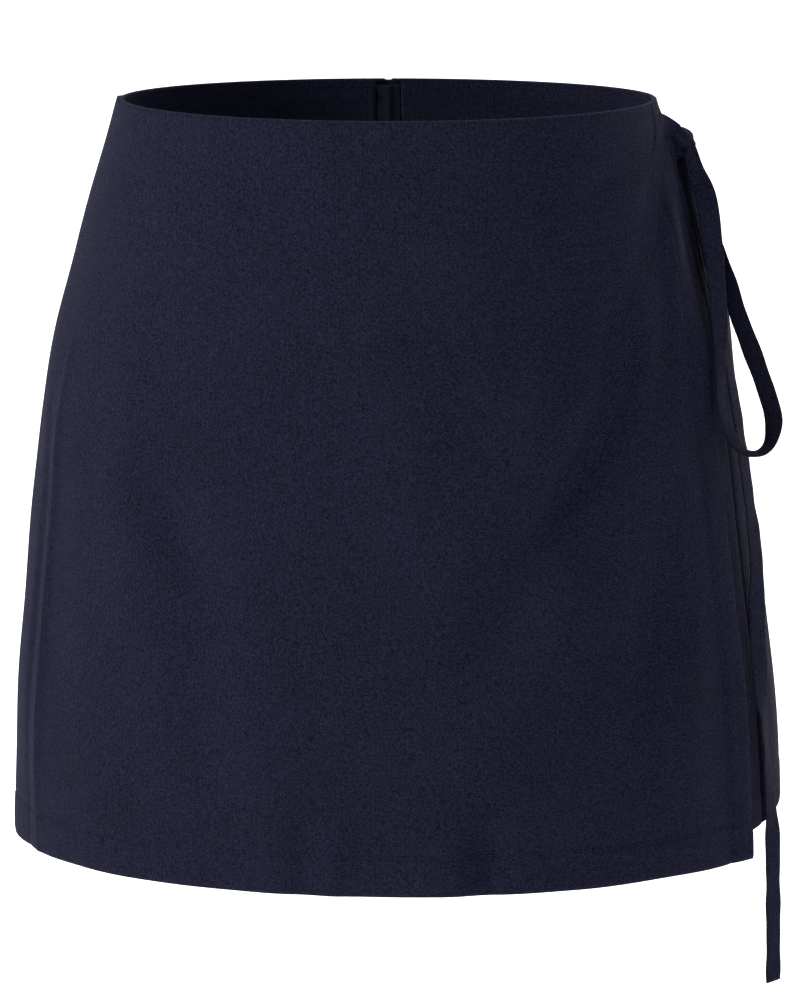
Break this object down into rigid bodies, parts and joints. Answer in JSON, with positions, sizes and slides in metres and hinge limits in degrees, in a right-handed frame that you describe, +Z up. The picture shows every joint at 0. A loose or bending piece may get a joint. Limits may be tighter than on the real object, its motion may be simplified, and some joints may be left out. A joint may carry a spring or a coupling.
{
  "type": "wrap skort",
  "caption": "Mini wrap skort: fitted shorts under a smooth front panel that crosses to the left side and ties there in a one-loop bow with a long hanging end.",
  "frame": {"origin": "centre of the waist opening, level with the waist edge, where the wearer's waist holds the garment", "axes": "+Z up, front of the garment towards -Y, the wearer's left and the tie towards +X"},
  "size_m": [0.3977, 0.2344, 0.4572],
  "materials": {
    "crepe": "fine-grained matt navy crepe with a faint sheen",
    "zip_tape": "close woven matt navy tape",
    "zip_metal": "satin navy enamel"
  },
  "bodies": {
    "garment": {"wrap_panel": "crepe", "shorts_front_left": "crepe", "shorts_front_right": "crepe", "shorts_back_left": "crepe", "shorts_back_right": "crepe", "facing_front": "crepe", "facing_back_left": "crepe", "facing_back_right": "crepe", "tie_from_wrap": "crepe", "tie_from_seam": "crepe", "bow_knot": "crepe", "bow_loop": "crepe", "tail_long": "crepe", "tail_short": "crepe", "zip_tape": "zip_tape", "zip_slider": "zip_metal"},
    "pull": {"zip_pull": "zip_metal"}
  },
  "joints": [
    {"name": "pull_hinge", "type": "hinge", "parent": "garment", "child": "pull", "pos_m": [0.00015, 0.08633, -0.00792], "axis": [1, -0.0079, 0.0055], "range_deg": [0, 150]}
  ]
}
